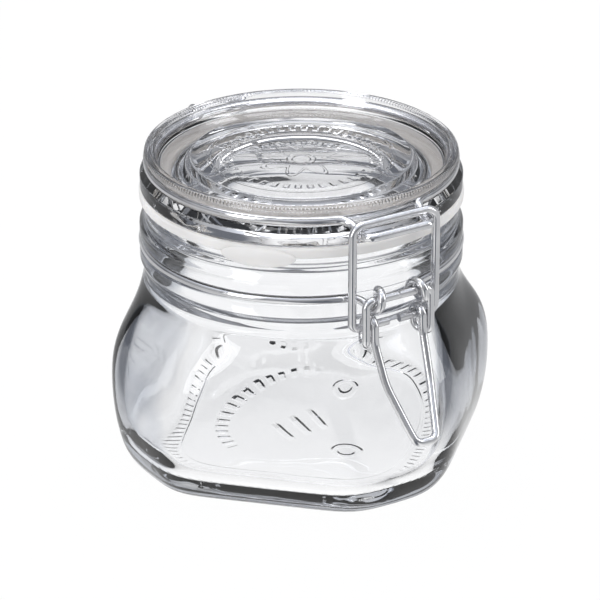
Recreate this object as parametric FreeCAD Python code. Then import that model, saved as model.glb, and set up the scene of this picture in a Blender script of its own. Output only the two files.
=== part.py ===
"""Clip-top storage jar: a squarish glass jar with a glass lid, a rubber ring and a wire closure.

Millimetres, +Z up, origin at the middle of the foot. The closure is at the front, on -Y, and
the lid's wire hinge is behind, on +Y. Each piece of the jar is one solid in parts/.
"""
import FreeCAD, Part
import math
import os

from FreeCAD import Vector

# ---- driving sizes -------------------------------------------------------------------------
# glass body, half sizes measured from the axis
foot_flat = 44.2        # middle to a side, at the foot
foot_corner = 50.8      # middle to a cut corner, at the foot
heel_flat = 48.6
heel_corner = 53.9
flank_flat = 51.2
flank_corner = 55.8
belly_flat = 53.5
belly_corner = 57.3
shoulder_flat = 51.8
shoulder_corner = 55.2
heel_height = 3.2
flank_height = 9.5
belly_height = 28.0
shoulder_drop = 18.0    # from the waist down to the shoulder
waist_height = 60.0     # where the round neck grows out of the square body
waist_radius = 47.2
root_swell = 1.5        # root of the neck over the waist, in radius
corner_bend = 15.0      # radius between a side and a cut corner
side_bow = 0.7
wall = 4.2
floor = 6.0
floor_bend = 3.0        # height over which the inside's floor turns up
punt_radius = 34.0
punt_depth = 1.4

# neck, above the waist
neck_height = 21.7      # waist to the top of the lip
neck_radius = 48.3      # both beads of the neck
lip_radius = 47.3
mouth_radius = 39.5
bore_radius = 42.7
bead_rise = 3.4         # waist to the neck's first bead
lip_height = 5.2
lip_step = 0.6          # lip's root inside the lip, in radius
mouth_depth = 5.0
mouth_slope = 5.0       # height over which the mouth widens to the bore
neck_sink = 2.5         # how far the neck's ring starts inside the body's wall
wire_groove_height = 8.4    # waist to the neck wire

# rubber ring
ring_thickness = 3.4
ring_outer = 48.3
ring_inside = 0.9        # ring's inner edge inside the mouth, in radius
tab_angle = -136.7      # degrees, the pull tab's place round the jar
tab_half_width = 11.0
tab_drop = 3.0
tab_thickness = 1.7

# lid
lid_height = 11.9       # ring to the top of the rim
rim_radius = 47.0
rim_width = 3.2
rim_depth = 4.7
rim_groove_drop = 4.4   # top of the rim to the lid wire
rim_groove_inset = 1.4
flange_radius = 48.0
flange_height = 4.5
medallion_radius = 33.0
medallion_rise = 2.1
medallion_dish = 1.6
medallion_edge = 1.6    # flat edge round the dish
plug_clearance = 2.3     # between the lid's plug and the mouth
plug_depth = 4.1
plug_wall = 4.0
lid_plate = 4.3

# wire closure
wire = 2.5              # diameter of every wire
slack = 0.2             # between a wire and what it turns on
seat_gap = 0.15         # between a wire and the groove that holds it
pin_tuck = 0.95         # how far the lever's coils tuck in under the neck's bead
pin_up = 0.8            # bail's axis above the waist
axes_gap = 0.85         # between the lever's coils and the eyes above them
side_gap = 0.7          # between the bail and the links inside it
bail_lean = 0.2         # how much further out the bail's bar lies than its pins
bail_gap = 3.8          # between the ends of the bail's two pins
bail_clearance = 0.85   # above the seat in the lid wire's tongue
link_half_width = 11.0
coil_gap = 0.3          # between two turns of a coil
eye_slack = 0.25        # between the lever's end and the eye round it
lever_gap = 0.6         # between the lever's two ends, which meet between the eyes
tongue_front = 1.4      # between the bail's bar and the tongue's front bar
tongue_drop = 2.9       # seat for the bail below the lid's groove
tongue_rise = 0.6       # the tongue's front bar above that seat
handle_belly = 1.7      # the handle's middle outside the belly's cut corner
handle_tip = 12.3       # the handle's tip outside the belly's cut corner
handle_length = 40.6    # the handle's tip below the lever's axis
hinge_gap = 0.5         # between the lid wire's hooks and the neck's bead
hinge_half_width = 11.0
hook_half_width = 6.2
tongue_exit = 19        # degrees round from the front, where the wires leave their rings
hook_exit = 166
eye_exit = 22
hinge_exit = 164

# ---- heights and radii that follow ---------------------------------------------------------
lip_top = waist_height + neck_height
lid_base = lip_top + ring_thickness
lid_top = lid_base + lid_height
flange_top = lid_base + flange_height
groove_z = lid_top - rim_groove_drop
groove_radius = rim_radius - rim_groove_inset
neck_groove_z = waist_height + wire_groove_height
neck_wire_radius = neck_radius - 1.0
plug_radius = mouth_radius - plug_clearance
ring_inner = mouth_radius - ring_inside
coil = wire + slack     # radius of a wire's turn round another
eye_radius = wire + eye_slack
turn_pitch = wire + coil_gap
pin_out = neck_radius + 1.5 * wire - pin_tuck      # bail's axis, from the jar's axis
pivot_out = pin_out + wire                         # lever's axis, from the jar's axis
pin_z = waist_height + pin_up
pivot_z = pin_z + coil + axes_gap + wire + eye_radius
bail_half_width = link_half_width + wire + side_gap
handle_half_width = link_half_width - turn_pitch - 0.1
tongue_reach = pin_out + bail_lean + wire + tongue_front
seat_z = groove_z - tongue_drop
bar_z = seat_z + wire + bail_clearance
hinge_out = neck_radius + coil + hinge_gap
hinge_z = groove_z - wire - slack


# ---- paths with round corners --------------------------------------------------------------
def corner_arc(before, at, after, radius):
    """Start, middle and end of the arc that rounds a corner, or None where nothing turns."""
    back = (before - at).normalize()
    ahead = (after - at).normalize()
    half = back.getAngle(ahead) / 2
    if radius <= 0 or half > math.pi / 2 - 1e-4:
        return None
    run = radius / math.tan(half)
    middle = (back + ahead).normalize()
    centre = at + middle * (radius / math.sin(half))
    return at + back * run, centre - middle * radius, at + ahead * run


def rounded_edges(corners, closed=False):
    """Lines and tangent arcs through corners given as (x, y, z, radius)."""
    points = [Vector(*c[:3]) for c in corners]
    count = len(points)
    edges = []
    first = last = None
    for i, corner in enumerate(corners):
        inner = closed or 0 < i < count - 1
        arc = None
        if inner:
            before = points[i - 1]
            after = points[(i + 1) % count]
            arc = corner_arc(before, points[i], after, corner[3])
        start = arc[0] if arc else points[i]
        end = arc[2] if arc else points[i]
        if last is not None and (start - last).Length > 1e-4:
            edges.append(Part.makeLine(last, start))
        if arc:
            edges.append(Part.Arc(*arc).toShape())
        if first is None:
            first = start
        last = end
    if closed and (first - last).Length > 1e-4:
        edges.append(Part.makeLine(last, first))
    return edges


def turned(profile):
    """Solid of revolution from a closed outline of (radius, height, corner radius)."""
    corners = [(r, 0, z, bend) for r, z, bend in profile]
    face = Part.Face(Part.Wire(rounded_edges(corners, closed=True)))
    return face.revolve(Vector(0, 0, 0), Vector(0, 0, 1), 360)


def bent_wire(corners):
    """Round wire along a path with rounded corners."""
    edges = rounded_edges(corners)
    start = Vector(*corners[0][:3])
    heading = Vector(*corners[1][:3]) - start
    section = Part.Wire(Part.makeCircle(wire / 2, start, heading))
    return Part.Wire(edges).makePipeShell([section], True, False)


def mirrored(half):
    """Whole path from its +X half, which ends near the middle plane."""
    return half + [(-x, y, z, bend) for x, y, z, bend in reversed(half)]


def ring_corners(radius, z, start, end, count):
    """Corners whose arcs make the circle from start to end degrees, counted from -Y to +X."""
    step = math.radians(end - start) / count
    reach = radius / math.cos(step / 2)
    corners = []
    for i in range(count):
        angle = math.radians(start) + step * (i + 0.5)
        corners.append((reach * math.sin(angle), -reach * math.cos(angle), z, radius))
    return corners


def off_ring(radius, z, angle, run, bend):
    """Corner on the circle's tangent at angle, run ahead of the point where it touches."""
    a = math.radians(angle)
    x = radius * math.sin(a) + run * math.cos(a)
    y = -radius * math.cos(a) + run * math.sin(a)
    return (x, y, z, bend)


# ---- glass ---------------------------------------------------------------------------------
def octagon_point(facing, out, along, roundness, circle):
    """Point out along the direction facing, and along across it, drawn in to the circle."""
    x = out * math.cos(facing) - along * math.sin(facing)
    y = out * math.sin(facing) + along * math.cos(facing)
    share = 1 - roundness + roundness * circle / math.hypot(x, y)
    return x * share, y * share


def body_section(z, flat, corner, inset=0.0, roundness=0.0):
    """Square with cut corners: sides at 45 degrees, cut corners on the axes.

    Each side is bowed out a little, and an arc bends it into the next one. The whole section
    lies inset within the sizes given. Roundness draws it in to the waist's circle, and 1 makes
    that circle.
    """
    step = math.pi / 4
    flat -= inset
    corner -= inset
    bend = corner_bend - inset
    circle = waist_radius - inset
    corners = []
    peaks = []
    for k in range(8):
        reach, other = (corner, flat) if k % 2 == 0 else (flat, corner)
        reach -= side_bow
        other -= side_bow
        half = (other - reach * math.cos(step)) / math.sin(step)
        run = half - bend * math.tan(step / 2)
        tip = math.hypot(reach, half) - bend * (1 / math.cos(step / 2) - 1)
        tip_facing = k * step + math.atan2(half, reach)
        corners.append(octagon_point(k * step, reach, -run, roundness, circle))
        peaks.append(octagon_point(k * step, reach + side_bow, 0, roundness, circle))
        corners.append(octagon_point(k * step, reach, run, roundness, circle))
        peaks.append(octagon_point(tip_facing, tip, 0, roundness, circle))
    edges = []
    for i in range(16):
        ends = (corners[i], peaks[i], corners[(i + 1) % 16])
        edges.append(Part.Arc(*[Vector(x, y, z) for x, y in ends]).toShape())
    return Part.Wire(edges)


def body_loft(lower, upper):
    return Part.makeLoft([body_section(*row) for row in lower + upper], True, False)


def upper_rows(inset, neck_inset):
    """Sections from the belly up to the waist, within the outside by inset."""
    shoulder_z = waist_height - shoulder_drop
    root_z = waist_height - shoulder_drop / 3
    root = waist_radius + root_swell
    return [
        (belly_height, belly_flat, belly_corner, inset, 0.0),
        (shoulder_z, shoulder_flat, shoulder_corner, inset, 0.05),
        (root_z, root, root, inset, 0.6),
        (waist_height, waist_radius, waist_radius, neck_inset, 1.0),
    ]


def make_neck():
    """Ring from the waist up: a bead each side of the wire's groove, and the lip."""
    groove_half = wire / 2 + seat_gap
    groove_floor = neck_wire_radius - groove_half
    low = neck_groove_z - groove_half
    high = neck_groove_z + groove_half
    lip_root = lip_radius - lip_step
    return turned([
        (waist_radius - wall / 2, waist_height - neck_sink, 0),
        (waist_radius - 0.05, waist_height + 0.6, 1.5),
        (neck_radius, waist_height + bead_rise, 1.6),
        (neck_radius, low, 0.4),
        (groove_floor, low, groove_half * 0.9),
        (groove_floor, high, groove_half * 0.9),
        (neck_radius, high, 0.8),
        (neck_radius, lip_top - lip_height - 2.4, 1.6),
        (lip_root, lip_top - lip_height, 2.0),
        (lip_root, lip_top - lip_height / 2, 1.0),
        (lip_radius, lip_top - 1.4, 0.8),
        (lip_radius - 0.9, lip_top, 0.7),
        (mouth_radius, lip_top, 1.2),
        (mouth_radius, lip_top - mouth_depth, 2.0),
        (bore_radius, lip_top - mouth_depth - mouth_slope, 3.0),
        (bore_radius, waist_height, 0),
    ])


def make_jar():
    outside = [
        (0.0, foot_flat, foot_corner),
        (heel_height, heel_flat, heel_corner),
        (flank_height, flank_flat, flank_corner),
    ]
    inside = [
        (floor, flank_flat, flank_corner, wall + 2 * floor_bend),
        (floor + floor_bend, flank_flat, flank_corner, wall + floor_bend / 3),
    ]
    body = body_loft(outside, upper_rows(0.0, 0.0))
    hollow = body_loft(inside, upper_rows(wall, waist_radius - bore_radius))
    sphere = (punt_radius ** 2 + punt_depth ** 2) / (2 * punt_depth)
    punt = Part.makeSphere(sphere, Vector(0, 0, punt_depth - sphere))
    return body.cut(hollow).fuse(make_neck()).cut(punt).removeSplitter()


def make_lid():
    rim_floor = lid_top - rim_depth
    plateau = rim_floor + medallion_rise
    groove_half = wire / 2 + seat_gap
    groove_floor = groove_radius - groove_half
    low = groove_z - groove_half
    high = groove_z + groove_half
    under = plateau - medallion_dish - lid_plate
    lid = turned([
        (0, plateau, 0),
        (medallion_radius, plateau, 0.9),
        (medallion_radius + 1.4, rim_floor, 0.9),
        (rim_radius - rim_width - 1.6, rim_floor, 1.8),
        (rim_radius - rim_width, lid_top - 0.4, 0.3),
        (rim_radius - rim_width + 0.8, lid_top, 0.6),
        (rim_radius - 0.6, lid_top, 1.1),
        (rim_radius, high, 0.5),
        (groove_floor, high, groove_half * 0.9),
        (groove_floor, low, groove_half * 0.9),
        (groove_radius + 0.4, low, 0.6),
        (flange_radius, flange_top, 0.7),
        (flange_radius, lid_base, 0.9),
        (plug_radius, lid_base, 0.5),
        (plug_radius, lid_base - plug_depth, 1.3),
        (plug_radius - plug_wall, lid_base - plug_depth, 1.3),
        (plug_radius - plug_wall - 1.5, under, 2.5),
        (0, under, 0),
    ])
    dish_radius = medallion_radius - medallion_edge
    sphere = (dish_radius ** 2 + medallion_dish ** 2) / (2 * medallion_dish)
    dish = Part.makeSphere(sphere, Vector(0, 0, plateau - medallion_dish + sphere))
    bowl = Part.makeCylinder(dish_radius + 1, 2 * medallion_dish,
                             Vector(0, 0, plateau - 1.5 * medallion_dish))
    return lid.cut(dish.common(bowl))


def make_ring():
    soft = ring_thickness * 0.3
    ring = turned([
        (ring_inner, lip_top, soft),
        (ring_outer, lip_top, soft),
        (ring_outer, lid_base, soft),
        (ring_inner, lid_base, soft),
    ])
    inner = ring_outer - soft / 2
    skirt = Part.makeCylinder(inner + tab_thickness, ring_thickness + tab_drop,
                              Vector(0, 0, lip_top - tab_drop))
    skirt = skirt.cut(Part.makeCylinder(inner, 3 * lid_base))
    lobe_radius = (tab_half_width ** 2 + tab_drop ** 2) / (2 * tab_drop)
    angle = math.radians(tab_angle)
    outward = Vector(math.cos(angle), math.sin(angle), 0)
    lobe = Part.makeCylinder(lobe_radius, 2 * ring_outer,
                             Vector(0, 0, lip_top - tab_drop + lobe_radius), outward)
    cap = Part.makeCylinder(ring_outer * 2, ring_thickness * 0.8 + tab_drop,
                            Vector(0, 0, lip_top - tab_drop))
    tab = skirt.common(lobe).common(cap)
    return ring.fuse(tab).removeSplitter()


# ---- wires ---------------------------------------------------------------------------------
def make_lid_wire():
    """Ring in the lid's groove, with a tongue in front and two hooks on the hinge behind."""
    radius = groove_radius
    hook_out = hinge_out + coil
    half = [
        (hook_half_width, hinge_out - 0.7, hinge_z - coil, 0),
        (hook_half_width, hook_out, hinge_z - coil, coil),
        (hook_half_width, hook_out, hinge_z + coil, coil),
        off_ring(radius, groove_z, hook_exit, 2.5, 4.0),
    ]
    half += reversed(ring_corners(radius, groove_z, tongue_exit, hook_exit, 4))
    half += [
        off_ring(radius, groove_z, tongue_exit, -3.2, 5.0),
        (link_half_width, -pin_out - bail_lean, seat_z, 2.6),
        (link_half_width, -tongue_reach, seat_z + tongue_rise, 2.6),
    ]
    return bent_wire(mirrored(half))


def make_neck_wire():
    """Ring in the neck's groove, with an eye each side in front and the hinge bar behind.

    Each eye is a turn and a quarter, and its cut end lies open over the lever's end.
    """
    radius = neck_wire_radius
    back = -pivot_out + eye_radius
    front = -pivot_out - eye_radius
    low = pivot_z - eye_radius
    high = pivot_z + eye_radius
    outer = link_half_width - wire - 0.35
    bend = eye_radius - 0.05
    half = [
        (outer - turn_pitch, back, pivot_z - 0.6, 0),
        (outer - 0.8 * turn_pitch, back, high, bend),
        (outer - 0.4 * turn_pitch, front, high, bend),
        (outer - 0.1 * turn_pitch, front, low, bend),
        (outer, back, low, bend),
        off_ring(radius, neck_groove_z, eye_exit, -8.2, 5.0),
    ]
    half += ring_corners(radius, neck_groove_z, eye_exit, hinge_exit, 4)
    half += [
        off_ring(radius, neck_groove_z, hinge_exit, 2.0, 2.5),
        (hinge_half_width, hinge_out, neck_groove_z, 2.8),
        (hinge_half_width, hinge_out, hinge_z, 2.8),
    ]
    return bent_wire(mirrored(half))


def make_bail():
    """Frame over the lid wire's tongue, with its two pins turned in through the lever's coils."""
    bar_y = -pin_out - bail_lean
    half = [
        (bail_gap / 2, -pin_out, pin_z, 0),
        (bail_half_width, -pin_out, pin_z, 2.1),
        (bail_half_width, bar_y, bar_z, 3.4),
    ]
    return bent_wire(mirrored(half))


def make_lever():
    """Handle whose wire coils round the bail's pins, and whose ends meet through the eyes."""
    back = -pin_out + coil
    front = -pin_out - coil
    turn = coil - 0.03
    low = pin_z - 5.7
    coil_x = handle_half_width + 0.1
    middle_x = (link_half_width + coil_x) / 2
    half = [
        (lever_gap / 2, -pivot_out, pivot_z, 0),
        (link_half_width, -pivot_out, pivot_z, 2.2),
        (link_half_width, front, low, turn),
        (middle_x - 0.6, back, low, turn),
        (coil_x, back, pin_z + coil, turn),
        (coil_x, front, pin_z + coil, turn),
        (handle_half_width + 0.2, front - 0.3, pin_z - 4.6, 10.0),
        (handle_half_width - 0.6, -belly_corner - handle_belly, pivot_z - 25.0, 24.0),
        (4.7, -belly_corner - handle_tip + 3.2, pivot_z - handle_length + 4.6, 12.0),
        (3.4, -belly_corner - handle_tip, pivot_z - handle_length, 2.9),
    ]
    return bent_wire(mirrored(half))


PIECES = {
    "jar": make_jar,
    "lid": make_lid,
    "gasket": make_ring,
    "lid_wire": make_lid_wire,
    "neck_wire": make_neck_wire,
    "bail": make_bail,
    "lever": make_lever,
}

os.makedirs("parts", exist_ok=True)
for name, make in PIECES.items():
    shape = make()
    solids = shape.Solids
    box = shape.BoundBox
    print(f"{name}: {len(solids)} solid, valid {shape.isValid()}, "
          f"{shape.Volume / 1000:.2f} cm3, x {box.XMin:.1f} {box.XMax:.1f} "
          f"y {box.YMin:.1f} {box.YMax:.1f} z {box.ZMin:.1f} {box.ZMax:.1f}")
    solids[0].exportStep(f"parts/{name}.step")
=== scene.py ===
"""Looks of a clip-top storage jar: clear glass, rubber ring and bright steel wire."""
import math

import bmesh
import bpy
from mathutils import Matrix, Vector


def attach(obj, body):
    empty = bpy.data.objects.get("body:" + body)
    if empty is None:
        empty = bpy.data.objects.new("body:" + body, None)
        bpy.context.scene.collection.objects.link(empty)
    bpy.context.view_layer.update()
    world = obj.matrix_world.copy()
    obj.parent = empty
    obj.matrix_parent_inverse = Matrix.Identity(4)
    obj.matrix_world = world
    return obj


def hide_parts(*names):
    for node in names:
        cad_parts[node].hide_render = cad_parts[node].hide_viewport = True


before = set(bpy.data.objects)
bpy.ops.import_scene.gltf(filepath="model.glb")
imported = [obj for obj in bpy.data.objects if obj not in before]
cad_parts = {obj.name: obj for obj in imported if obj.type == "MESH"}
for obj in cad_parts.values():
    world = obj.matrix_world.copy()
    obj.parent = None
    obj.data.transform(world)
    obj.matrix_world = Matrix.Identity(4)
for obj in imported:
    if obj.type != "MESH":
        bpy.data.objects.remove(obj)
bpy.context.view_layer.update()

MM = 0.001

# ---- sizes in millimetres, as the solids have them -------------------------------------------
WIRE = 2.5
WAIST_Z = 60.0
WAIST_R = 47.2
NECK_R = 48.3
LIP_R = 47.3
MOUTH_R = 39.5
BORE_R = 42.7
LIP_TOP = WAIST_Z + 21.7
RING_T = 3.4
RING_OUT = 48.3
RING_IN = 38.6
LID_BASE = LIP_TOP + RING_T
LID_TOP = LID_BASE + 11.9
RIM_R = 47.0
RIM_W = 3.2
RIM_DEPTH = 4.7
FLANGE_R = 48.0
FLANGE_TOP = LID_BASE + 4.5
MEDAL_R = 33.0
MEDAL_RISE = 2.1
MEDAL_DISH = 1.6
PLUG_R = 37.2
PLUG_DEPTH = 4.1
LID_PLATE = 4.3
GROOVE_Z = LID_TOP - 4.4
GROOVE_R = RIM_R - 1.4
NECK_GROOVE_Z = WAIST_Z + 8.4
NECK_WIRE_R = NECK_R - 1.0
WALL = 4.2
FLOOR_Z = 6.0
TAB_ANGLE = -136.7
LEAF = 0.06             # air left between glass and rubber, so that no faces coincide


# ---- making meshes ---------------------------------------------------------------------------
def clear_selection():
    if bpy.context.object and bpy.context.object.mode != "OBJECT":
        bpy.ops.object.mode_set(mode="OBJECT")
    bpy.ops.object.select_all(action="DESELECT")


def rounded(outline, closed=True, step=12.0):
    """Outline of (radius, height, bend) with each corner turned by an arc of that bend."""
    points = [Vector((r, z)) for r, z, _ in outline]
    result = []
    for i, (r, z, bend) in enumerate(outline):
        at = points[i]
        if bend <= 0 or (not closed and i in (0, len(points) - 1)):
            result.append((r, z))
            continue
        back = (points[i - 1] - at).normalized()
        ahead = (points[(i + 1) % len(points)] - at).normalized()
        half = back.angle(ahead) / 2
        if half > math.pi / 2 - 1e-3:
            result.append((r, z))
            continue
        centre = at + (back + ahead).normalized() * (bend / math.sin(half))
        start = at + back * (bend / math.tan(half)) - centre
        turn = start.angle_signed(at + ahead * (bend / math.tan(half)) - centre)
        count = max(2, int(math.degrees(abs(turn)) / step) + 1)
        for k in range(count + 1):
            a = -turn * k / count
            spoke = Vector((start.x * math.cos(a) - start.y * math.sin(a),
                            start.x * math.sin(a) + start.y * math.cos(a)))
            result.append(tuple(centre + spoke))
    return result


def spun(name, outline, closed, steps=160):
    """Turns an outline round the upright axis: one point, extruded from corner to corner."""
    clear_selection()
    bpy.ops.mesh.primitive_plane_add(size=0.01)
    piece = bpy.context.object
    piece.name = name
    bpy.ops.object.mode_set(mode="EDIT")
    bpy.ops.mesh.merge(type="CENTER")
    places = [Vector((r * MM, 0, z * MM)) for r, z in outline]
    bpy.ops.transform.translate(value=places[0])
    for before, after in zip(places, places[1:]):
        bpy.ops.mesh.extrude_vertices_move(TRANSFORM_OT_translate={"value": after - before})
    if closed:
        shape = bmesh.from_edit_mesh(piece.data)
        shape.verts.ensure_lookup_table()
        for vert in shape.verts:
            vert.select = vert.index in (0, len(places) - 1)
        shape.select_flush(True)
        bpy.ops.mesh.edge_face_add()
    bpy.ops.mesh.select_all(action="SELECT")
    bpy.ops.mesh.spin(steps=steps, angle=math.tau, center=(0, 0, 0), axis=(0, 0, 1))
    bpy.ops.mesh.select_all(action="SELECT")
    bpy.ops.mesh.remove_doubles(threshold=1e-6)
    bpy.ops.mesh.normals_make_consistent(inside=False)
    bpy.ops.object.mode_set(mode="OBJECT")
    bpy.ops.object.shade_smooth()
    return piece


def square_radius(angle, flat, corner, roundness):
    """Square with cut corners and soft bends: sides at 45 degrees, cut corners on the axes."""
    total = 0.0
    for k in range(8):
        facing = math.cos(angle - k * math.pi / 4)
        if facing > 0:
            total += (facing / (corner if k % 2 == 0 else flat)) ** 24
    return total ** (-1 / 24) * (1 - roundness) + WAIST_R * roundness


def shell_of_rings(name, rows, around=96):
    """Closed shell drawn ring by ring from a circle. A row is (height, flat, corner, roundness)."""
    clear_selection()
    bpy.ops.mesh.primitive_circle_add(vertices=around, radius=0.001)
    piece = bpy.context.object
    piece.name = name
    bpy.ops.object.mode_set(mode="EDIT")
    shape = bmesh.from_edit_mesh(piece.data)
    for number, (z, flat, corner, roundness) in enumerate(rows):
        if number:
            bpy.ops.mesh.extrude_edges_move()
            shape = bmesh.from_edit_mesh(piece.data)
        for vert in shape.verts:
            if vert.select:
                angle = math.atan2(vert.co.y, vert.co.x)
                r = square_radius(angle, flat, corner, roundness) if roundness < 1 else flat
                vert.co = (r * MM * math.cos(angle), r * MM * math.sin(angle), z * MM)
    for at_end in (True, False):
        height = rows[-1 if at_end else 0][0] * MM
        reach = rows[-1 if at_end else 0][1] * MM * 1.01
        for vert in shape.verts:
            vert.select = abs(vert.co.z - height) < 1e-7 and vert.co.xy.length < reach
        shape.select_flush(True)
        bpy.ops.mesh.merge(type="CENTER")
        shape = bmesh.from_edit_mesh(piece.data)
    bpy.ops.mesh.select_all(action="SELECT")
    bpy.ops.mesh.normals_make_consistent(inside=False)
    bpy.ops.object.mode_set(mode="OBJECT")
    soften = piece.modifiers.new("soften", "SUBSURF")
    soften.levels = soften.render_levels = 2
    bpy.ops.object.modifier_apply(modifier="soften")
    bpy.ops.object.shade_smooth()
    return piece


def disc_row(z, radius):
    return (z, radius, radius, 1.0)


# ---- the glass body --------------------------------------------------------------------------
def make_jar():
    outside = [
        (0.0, 43.6, 50.2, 0.0), (0.7, 45.6, 51.7, 0.0), (2.0, 47.5, 53.1, 0.0),
        (5.0, 49.7, 54.7, 0.0), (9.5, 51.3, 55.9, 0.0), (16.0, 52.7, 56.9, 0.0),
        (23.0, 53.5, 57.3, 0.0), (30.0, 53.6, 57.3, 0.0), (36.0, 53.1, 56.8, 0.0),
        (42.0, 51.9, 55.3, 0.06), (47.0, 50.3, 53.0, 0.25), (51.5, 49.0, 50.6, 0.5),
        (55.0, 48.4, 49.0, 0.75), (57.5, 47.8, 47.8, 0.95),
    ]
    half = WIRE / 2 + 0.15
    floor_r = NECK_WIRE_R - half
    low, high = NECK_GROOVE_Z - half, NECK_GROOVE_Z + half
    neck = rounded([
        (WAIST_R, WAIST_Z - 1.0, 0), (WAIST_R, WAIST_Z + 1.0, 0.8), (NECK_R, WAIST_Z + 3.4, 1.6),
        (NECK_R, low, 0.4), (floor_r, low, half * 0.9), (floor_r, high, half * 0.9),
        (NECK_R, high, 0.8), (NECK_R, LIP_TOP - 7.6, 1.6), (LIP_R - 0.6, LIP_TOP - 5.2, 2.0),
        (LIP_R - 0.6, LIP_TOP - 2.4, 1.0), (LIP_R, LIP_TOP - 1.4, 0.8),
        (LIP_R - 0.9, LIP_TOP - LEAF, 0.7), (MOUTH_R, LIP_TOP - LEAF, 1.2),
        (MOUTH_R, LIP_TOP - 5.0, 2.0), (BORE_R, LIP_TOP - 10.0, 3.0), (BORE_R, WAIST_Z, 0),
    ], closed=False, step=30.0)
    inside = [(z, f - WALL, c - WALL, b) for z, f, c, b in reversed(outside[5:])]
    floor = [(11.0, 46.4, 51.2, 0.0), (8.0, 44.2, 49.6, 0.0), (6.6, 41.5, 47.4, 0.0),
             (6.1, 38.0, 43.0, 0.0)]
    rows = [disc_row(1.4, 0.8), disc_row(1.35, 8), disc_row(1.2, 18), disc_row(0.8, 27),
            disc_row(0.35, 33), (0.05, 37.0, 40.5, 0.2), (0.0, 41.0, 46.5, 0.0)]
    rows += outside + [disc_row(z, r) for r, z in neck] + inside + floor
    rows += [disc_row(FLOOR_Z, r) for r in (34, 24, 12, 0.8)]
    piece = shell_of_rings("glass_jar", rows)
    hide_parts("jar")
    return piece


# ---- the glass lid ---------------------------------------------------------------------------
def make_lid():
    rim_floor = LID_TOP - RIM_DEPTH
    plateau = rim_floor + MEDAL_RISE
    half = WIRE / 2 + 0.15
    floor_r = GROOVE_R - half
    low, high = GROOVE_Z - half, GROOVE_Z + half
    under = plateau - MEDAL_DISH - LID_PLATE
    base = LID_BASE + LEAF
    dish = [((MEDAL_R - 1.6) * k / 8, plateau - MEDAL_DISH * (1 - (k / 8) ** 2), 0)
            for k in range(9)]
    outline = rounded(dish + [
        (MEDAL_R, plateau, 0.9), (MEDAL_R + 1.4, rim_floor, 0.9),
        (RIM_R - RIM_W - 1.6, rim_floor, 1.8), (RIM_R - RIM_W, LID_TOP - 0.4, 0.3),
        (RIM_R - RIM_W + 0.8, LID_TOP, 0.6), (RIM_R - 0.6, LID_TOP, 1.1), (RIM_R, high, 0.5),
        (floor_r, high, half * 0.9), (floor_r, low, half * 0.9), (GROOVE_R + 0.4, low, 0.6),
        (FLANGE_R, FLANGE_TOP, 0.7), (FLANGE_R, base, 0.9), (PLUG_R, base, 0.5),
        (PLUG_R, base - PLUG_DEPTH, 1.3), (PLUG_R - 2.2, base - PLUG_DEPTH, 1.6),
        (24, under - 0.8, 14), (0, under, 0),
    ], closed=False)
    piece = spun("glass_lid", outline, closed=False)
    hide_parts("lid")
    return piece


# ---- the rubber ring -------------------------------------------------------------------------
def make_gasket():
    soft = RING_T * 0.3
    outline = rounded([
        (RING_IN, LIP_TOP, soft), (RING_OUT, LIP_TOP, soft),
        (RING_OUT, LID_BASE, soft), (RING_IN, LID_BASE, soft),
    ])
    piece = spun("rubber_ring", outline, closed=True)
    clear_selection()
    bpy.ops.mesh.primitive_uv_sphere_add(segments=48, ring_count=24, radius=1)
    tab = bpy.context.object
    for vert in tab.data.vertices:
        across, out, up = vert.co
        r = RING_OUT + 0.3 + out * 1.1 - up * 0.25
        angle = math.radians(TAB_ANGLE) + across * 11.3 / RING_OUT
        z = LIP_TOP + 0.2 + up * 2.9
        vert.co = (r * MM * math.cos(angle), r * MM * math.sin(angle), z * MM)
    bpy.ops.object.shade_smooth()
    piece.select_set(True)
    bpy.context.view_layer.objects.active = piece
    bpy.ops.object.join()
    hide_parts("gasket")
    return piece


# ---- materials -------------------------------------------------------------------------------
class Sums:
    """Adds mathematics nodes to a node tree. Values are numbers or output sockets."""

    def __init__(self, tree):
        self.nodes, self.links = tree.nodes, tree.links

    def do(self, operation, *values):
        node = self.nodes.new("ShaderNodeMath")
        node.operation = operation
        for socket, value in zip(node.inputs, values):
            if isinstance(value, (int, float)):
                socket.default_value = value
            else:
                self.links.new(value, socket)
        return node.outputs[0]

    def clamped(self, value, factor, start):
        """value times factor plus start, kept between 0 and 1."""
        result = self.do("MULTIPLY_ADD", value, factor, start)
        result.node.use_clamp = True
        return result

    def near(self, value, middle, reach):
        """Ridge with sloping sides: 1 at the middle, 0 beyond reach."""
        off = self.do("ABSOLUTE", self.do("SUBTRACT", value, middle))
        return self.clamped(off, -2 / reach, 2.0)

    def times(self, first, *others):
        for other in others:
            first = self.do("MULTIPLY", first, other)
        return first

    def most(self, first, *others):
        for other in others:
            first = self.do("MAXIMUM", first, other)
        return first

    def place(self):
        """X, Y and Z, the distance from the axis and the angle round it."""
        coordinates = self.nodes.new("ShaderNodeTexCoord")
        split = self.nodes.new("ShaderNodeSeparateXYZ")
        self.links.new(coordinates.outputs["Object"], split.inputs[0])
        x, y, z = split.outputs
        away = self.do("SQRT", self.do("ADD", self.times(x, x), self.times(y, y)))
        return x, y, z, away, self.do("ARCTAN2", y, x)

    def teeth(self, angle, count):
        """Round ridges, count of them round the axis."""
        return self.clamped(self.do("SINE", self.times(angle, count)), 1.0, 0.4)


def new_material(name):
    material = bpy.data.materials.new(name)
    material.use_nodes = True
    nodes = material.node_tree.nodes
    return material, nodes, material.node_tree.links, nodes["Principled BSDF"]


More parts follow.
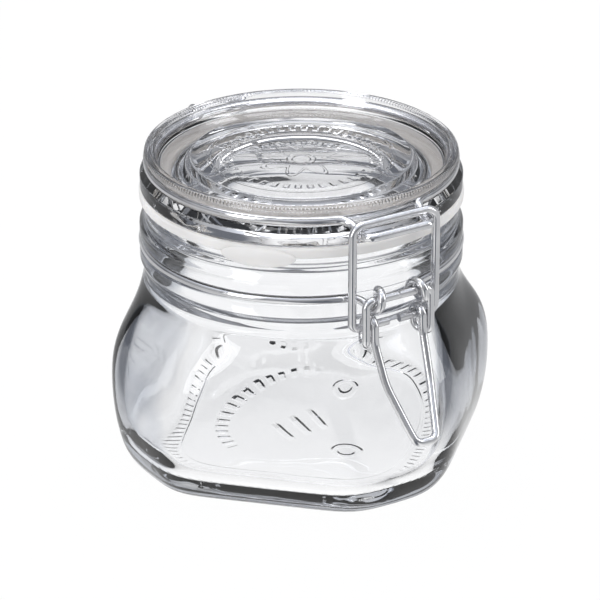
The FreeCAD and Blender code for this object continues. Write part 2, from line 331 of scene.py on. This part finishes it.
def new_group(name, **sockets):
    """Node group whose sockets are given as name=(in or out, kind)."""
    group = bpy.data.node_groups.new(name, "ShaderNodeTree")
    for label, (way, kind) in sockets.items():
        group.interface.new_socket(label, in_out=way, socket_type=f"NodeSocket{kind}")
    return group, group.nodes.new("NodeGroupInput"), group.nodes.new("NodeGroupOutput")


def uneven_group():
    """Soft unevenness of a surface, from 0 to 1."""
    group, entry, leave = new_group(
        "soft unevenness", Scale=("INPUT", "Float"), Stretch=("INPUT", "Vector"),
        Value=("OUTPUT", "Float"))
    nodes, links = group.nodes, group.links
    place = nodes.new("ShaderNodeTexCoord")
    stretch = nodes.new("ShaderNodeVectorMath")
    stretch.operation = "MULTIPLY"
    links.new(place.outputs["Object"], stretch.inputs[0])
    links.new(entry.outputs["Stretch"], stretch.inputs[1])
    noise = nodes.new("ShaderNodeTexNoise")
    noise.inputs["Detail"].default_value = 1.5
    links.new(stretch.outputs[0], noise.inputs["Vector"])
    links.new(entry.outputs["Scale"], noise.inputs["Scale"])
    links.new(noise.outputs["Fac"], leave.inputs["Value"])
    return group


def base_relief_group():
    """Marks under the jar's floor: a band of ticks, a thin outline, an arc of dashes, bars."""
    group, _, leave = new_group("base relief", Height=("OUTPUT", "Float"))
    sums = Sums(group)
    x, y, z, away, angle = sums.place()
    diagonals = (sums.do("ADD", x, y), sums.do("SUBTRACT", x, y))
    fourth = [sums.do("POWER", sums.do("ABSOLUTE", d), 4.0) for d in diagonals]
    squarish = sums.times(sums.do("POWER", sums.do("ADD", *fourth), 0.25), 0.5 ** 0.5)
    ticks = sums.times(sums.near(squarish, 0.0388, 0.0026), sums.teeth(angle, 90), 0.6)
    outline = sums.times(sums.near(squarish, 0.0350, 0.0009), 0.6)
    dashes = sums.times(sums.near(away, 0.0240, 0.0024), sums.teeth(angle, 40),
                        sums.near(angle, 2.4, 1.7))
    bars = [sums.times(sums.near(x, middle, 0.0014), sums.near(y, 0.0, 0.0060))
            for middle in (-0.006, 0.0, 0.006)]
    rings = [sums.near(sums.do("SQRT", sums.do("ADD", sums.do("POWER", sums.do(
        "SUBTRACT", x, at_x), 2.0), sums.do("POWER", sums.do("SUBTRACT", y, at_y), 2.0))),
        0.0034, 0.0013) for at_x, at_y in ((0.020, 0.006), (0.004, -0.020))]
    marks = sums.most(ticks, outline, dashes, *bars, *rings)
    group.links.new(sums.times(marks, sums.do("LESS_THAN", z, 0.0030)), leave.inputs["Height"])
    return group


def lid_relief_group():
    """Beads along both edges of the lid's rim, and a plain rosette in a ring of dashes."""
    group, _, leave = new_group("lid relief", Height=("OUTPUT", "Float"))
    sums = Sums(group)
    _, _, z, away, angle = sums.place()
    beads = sums.times(sums.teeth(angle, 260), sums.most(
        sums.near(away, (RIM_R - RIM_W + 0.5) * MM, 0.0007),
        sums.near(away, (RIM_R - 0.3) * MM, 0.0007)))
    petal = sums.do("MULTIPLY_ADD", sums.do("COSINE", sums.times(angle, 8.0)), 0.0030, 0.0100)
    rosette = sums.near(sums.do("SUBTRACT", away, petal), 0.0, 0.0011)
    heart = sums.near(away, 0.0035, 0.0010)
    dashes = sums.times(sums.near(away, 0.0225, 0.0020), sums.teeth(angle, 40))
    line = sums.near(away, 0.0275, 0.0007)
    marks = sums.most(rosette, heart, dashes, line)
    on_top = sums.do("GREATER_THAN", z, (LID_TOP - RIM_DEPTH - 1.5) * MM)
    raised = sums.do("GREATER_THAN", z, (LID_TOP - 1.2) * MM)
    height = sums.most(sums.times(marks, on_top), sums.times(beads, raised))
    group.links.new(height, leave.inputs["Height"])
    return group


UNEVEN = uneven_group()


def unevenness(nodes, scale, stretch=(1, 1, 1)):
    node = nodes.new("ShaderNodeGroup")
    node.node_tree = UNEVEN
    node.inputs["Scale"].default_value = scale
    node.inputs["Stretch"].default_value = stretch
    return node.outputs["Value"]


def ranged(nodes, links, value, low, high):
    node = nodes.new("ShaderNodeMapRange")
    node.inputs["From Min"].default_value = 0.3
    node.inputs["From Max"].default_value = 0.7
    node.inputs["To Min"].default_value = low
    node.inputs["To Max"].default_value = high
    links.new(value, node.inputs["Value"])
    return node.outputs["Result"]


def ramp_of(nodes, links, value, stops):
    """Colour ramp through (position, colour) stops."""
    node = nodes.new("ShaderNodeValToRGB")
    elements = node.color_ramp.elements
    while len(elements) < len(stops):
        elements.new(0.5)
    for element, (position, colour) in zip(elements, stops):
        element.position = position
        element.color = (*colour, 1)
    links.new(value, node.inputs["Fac"])
    return node.outputs["Color"]


def bumped(nodes, links, height, distance, before=None):
    node = nodes.new("ShaderNodeBump")
    node.inputs["Distance"].default_value = distance
    links.new(height, node.inputs["Height"])
    if before:
        links.new(before, node.inputs["Normal"])
    return node.outputs["Normal"]


def make_glass(name, clear_and_shade_tones, relief, relief_height):
    """Clear glass whose colour carries painted shade: upright walls darken in streaks where they
    are seen edge on, standing in for the dark that the glass shows there.
    """
    material, nodes, links, shader = new_material(name)
    shader.inputs["Transmission Weight"].default_value = 1
    shader.inputs["IOR"].default_value = 1.5
    facing = nodes.new("ShaderNodeLayerWeight")
    facing.inputs["Blend"].default_value = 0.5
    sums = Sums(material.node_tree)
    coordinates = nodes.new("ShaderNodeTexCoord")
    split = nodes.new("ShaderNodeSeparateXYZ")
    links.new(coordinates.outputs["Normal"], split.inputs[0])
    level = sums.do("POWER", sums.do("ABSOLUTE", split.outputs["Z"]), 4.0)
    upright = sums.times(facing.outputs["Facing"], sums.do("SUBTRACT", 1.0, level))
    streaks = ranged(nodes, links, unevenness(nodes, 38, (1, 1, 1.8)), -0.07, 0.07)
    # Painted shade: the first stop is the glass's own clear tint, and the darker stops darken walls
    # seen edge on.
    tint_and_edge_shade = ramp_of(nodes, links, sums.do("ADD", upright, streaks), clear_and_shade_tones)
    links.new(tint_and_edge_shade, shader.inputs["Base Color"])
    wave = unevenness(nodes, 45)
    links.new(ranged(nodes, links, wave, 0.0, 0.02), shader.inputs["Roughness"])
    marks = nodes.new("ShaderNodeGroup")
    marks.node_tree = relief
    soft = bumped(nodes, links, wave, 0.0003)
    normal = bumped(nodes, links, marks.outputs["Height"], relief_height, soft)
    links.new(normal, shader.inputs["Normal"])
    through = nodes.new("ShaderNodeBsdfTransparent")
    path = nodes.new("ShaderNodeLightPath")
    mix = nodes.new("ShaderNodeMixShader")
    links.new(path.outputs["Is Shadow Ray"], mix.inputs[0])
    links.new(shader.outputs[0], mix.inputs[1])
    links.new(through.outputs[0], mix.inputs[2])
    links.new(mix.outputs[0], nodes["Material Output"].inputs["Surface"])
    return material


def make_rubber():
    material, nodes, links, shader = new_material("pale rubber")
    tone = ramp_of(nodes, links, unevenness(nodes, 60), (
        (0.35, (0.76, 0.74, 0.71)), (0.65, (0.85, 0.83, 0.80))))
    # Painted shadow of the lid on the ring: inside about 46.3 mm from the axis the rubber's colour
    # drops to under half, and it reaches full brightness by 47.5 mm.
    away = Sums(material.node_tree).place()[3]
    shade = Sums(material.node_tree).clamped(away, 1 / (1.2 * MM), -(RING_OUT - 2.0) / 1.2)
    painted_lid_shadow = ramp_of(nodes, links, shade, ((0.0, (0.46, 0.445, 0.43)), (1.0, (1, 1, 1))))
    tone_with_lid_shadow = nodes.new("ShaderNodeMix")
    tone_with_lid_shadow.data_type = "RGBA"
    tone_with_lid_shadow.blend_type = "MULTIPLY"
    tone_with_lid_shadow.inputs["Factor"].default_value = 1
    links.new(tone, tone_with_lid_shadow.inputs["A"])
    links.new(painted_lid_shadow, tone_with_lid_shadow.inputs["B"])
    links.new(tone_with_lid_shadow.outputs["Result"], shader.inputs["Base Color"])
    links.new(ranged(nodes, links, unevenness(nodes, 300), 0.38, 0.5), shader.inputs["Roughness"])
    shader.inputs["Subsurface Weight"].default_value = 0.3
    shader.inputs["Subsurface Radius"].default_value = (0.002, 0.0018, 0.0015)
    return material


def make_steel():
    material, nodes, links, shader = new_material("bright steel wire")
    shader.inputs["Metallic"].default_value = 1
    tone = ramp_of(nodes, links, unevenness(nodes, 120), (
        (0.3, (0.74, 0.74, 0.75)), (0.7, (0.86, 0.86, 0.87))))
    links.new(tone, shader.inputs["Base Color"])
    links.new(ranged(nodes, links, unevenness(nodes, 700), 0.10, 0.22), shader.inputs["Roughness"])
    return material


# ---- surroundings ----------------------------------------------------------------------------
CAMERA_TURN = math.radians(-31.5)


def make_camera():
    """Stands off the front left of the clip and looks a little down at the jar."""
    turn, lift, distance = CAMERA_TURN, math.radians(24.65), 1.3
    right = Vector((math.cos(turn), math.sin(turn), 0))
    back = Vector((math.sin(turn) * math.cos(lift), -math.cos(turn) * math.cos(lift),
                   math.sin(lift)))
    up = back.cross(right)
    target = Vector((0, 0, 0.049)) - right * 0.0004 - up * 0.0019
    camera = bpy.data.objects.new("camera", bpy.data.cameras.new("camera"))
    bpy.context.collection.objects.link(camera)
    camera.location = target + back * distance
    camera.rotation_euler = back.to_track_quat("Z", "Y").to_euler()
    camera.data.sensor_width = 36
    camera.data.lens = 36 * distance / 0.1803
    camera.data.clip_start = 0.01
    bpy.context.scene.camera = camera


def make_world():
    world = bpy.data.worlds.new("studio")
    bpy.context.scene.world = world
    world.use_nodes = True
    nodes, links = world.node_tree.nodes, world.node_tree.links
    place = nodes.new("ShaderNodeTexCoord")
    split = nodes.new("ShaderNodeSeparateXYZ")
    links.new(place.outputs["Generated"], split.inputs[0])
    sums = Sums(world.node_tree)
    x, y, z = split.outputs
    up = sums.do("MULTIPLY_ADD", z, 0.5, 0.5)
    sky = ramp_of(nodes, links, up, [
        (position, (tone * 0.96, tone, tone * 1.10)) for position, tone in (
            (0.50, 0.55), (0.515, 0.16), (0.55, 0.10), (0.60, 0.17), (0.70, 0.22),
            (0.80, 0.40), (0.90, 0.9))])
    strips = sums.clamped(sums.do("SINE", sums.times(sums.do("ARCTAN2", y, x), 5.0)), 0.5, 0.5)
    strip_light = sums.times(strips, sums.near(up, 0.66, 0.18), 0.3)
    lit = nodes.new("ShaderNodeMix")
    lit.data_type = "RGBA"
    links.new(strip_light, lit.inputs["Factor"])
    links.new(sky, lit.inputs["A"])
    lit.inputs["B"].default_value = (1, 1, 1, 1)
    path = nodes.new("ShaderNodeLightPath")
    mix = nodes.new("ShaderNodeMix")
    mix.data_type = "RGBA"
    links.new(path.outputs["Is Camera Ray"], mix.inputs["Factor"])
    links.new(lit.outputs["Result"], mix.inputs["A"])
    mix.inputs["B"].default_value = (1, 1, 1, 1)
    links.new(mix.outputs["Result"], nodes["Background"].inputs["Color"])


def make_floor():
    """White table. Mirrored, it is dark on the camera's side; through glass, dark to the sides."""
    clear_selection()
    bpy.ops.mesh.primitive_plane_add(size=8, location=(0, 0, -0.0002))
    floor = bpy.context.object
    floor.name = "floor"
    material, nodes, links, shader = new_material("white table")
    sums = Sums(material.node_tree)
    shader.inputs["Base Color"].default_value = (0.9, 0.9, 0.9, 1)
    shader.inputs["Roughness"].default_value = 0.8
    x, y, *_ = sums.place()
    ahead = sums.do("ADD", sums.times(x, math.sin(CAMERA_TURN)),
                    sums.times(y, -math.cos(CAMERA_TURN)))
    aside = sums.do("ADD", sums.times(x, math.cos(CAMERA_TURN)),
                    sums.times(y, math.sin(CAMERA_TURN)))
    off_clip = sums.do("ABSOLUTE", sums.do("SUBTRACT", aside, 0.028))
    wedge = sums.do("SUBTRACT", sums.do("MULTIPLY_ADD", ahead, 0.32, -0.014), off_clip)
    path = nodes.new("ShaderNodeLightPath")
    mirrored = sums.times(sums.clamped(wedge, 80.0, 0.3), path.outputs["Is Glossy Ray"], 0.95)
    off_middle = sums.clamped(sums.do("ABSOLUTE", aside), 1 / 0.05, -0.050 / 0.05)
    beside = sums.times(off_middle, sums.most(
        sums.times(path.outputs["Is Transmission Ray"], 0.95),
        sums.times(path.outputs["Is Glossy Ray"], 0.45)))
    dark = sums.most(mirrored, beside)
    glow = nodes.new("ShaderNodeEmission")
    links.new(ramp_of(nodes, links, dark, ((0.0, (1, 1, 1)), (1.0, (0.04, 0.05, 0.075)))),
              glow.inputs["Color"])
    seen = sums.most(path.outputs["Is Camera Ray"], path.outputs["Is Transmission Ray"],
                     path.outputs["Is Glossy Ray"])
    mix = nodes.new("ShaderNodeMixShader")
    links.new(sums.times(seen, 0.96), mix.inputs[0])
    links.new(shader.outputs[0], mix.inputs[1])
    links.new(glow.outputs[0], mix.inputs[2])
    links.new(mix.outputs[0], nodes["Material Output"].inputs["Surface"])
    floor.data.materials.append(material)


def make_lamp(name, size, place, power):
    lamp = bpy.data.lights.new(name, "AREA")
    lamp.shape = "RECTANGLE"
    lamp.size, lamp.size_y = size
    lamp.energy = power
    thing = bpy.data.objects.new(name, lamp)
    bpy.context.collection.objects.link(thing)
    thing.location = place
    thing.rotation_euler = Vector(place).to_track_quat("Z", "Y").to_euler()


# ---- putting it together ---------------------------------------------------------------------
make_camera()
make_world()
make_floor()
make_lamp("top", (1.2, 1.2), (0.1, 0.3, 1.5), 12)
make_lamp("left", (0.5, 1.4), (-1.4, -0.4, 0.7), 8)
make_lamp("right", (0.5, 1.4), (1.3, -0.9, 0.7), 6)

bpy.context.scene.view_settings.view_transform = "Standard"

# In each list of tones the first is the clear glass tint, and the rest are painted shade for walls
# seen edge on.
body_glass = make_glass("body glass", (
    (0.40, (0.98, 0.983, 0.99)), (0.56, (0.66, 0.69, 0.75)), (0.75, (0.47, 0.50, 0.56)),
    (0.95, (0.20, 0.22, 0.27))), base_relief_group(), 0.00018)
lid_glass = make_glass("lid glass", (
    (0.36, (0.93, 0.93, 0.94)), (0.66, (0.60, 0.61, 0.65)), (0.95, (0.22, 0.23, 0.26))),
    lid_relief_group(), 0.0004)
rubber = make_rubber()
steel = make_steel()

for make, finish, slot in ((make_jar, body_glass, "jar_glass"), (make_lid, lid_glass, "lid_glass"),
                           (make_gasket, rubber, "gasket")):
    piece = make()
    piece.data.materials.clear()
    piece.data.materials.append(finish)
    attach(piece, "container")

for name in ("lid_wire", "neck_wire", "bail", "lever"):
    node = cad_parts[name]
    for slot_on_node in node.material_slots:
        slot_on_node.material = steel
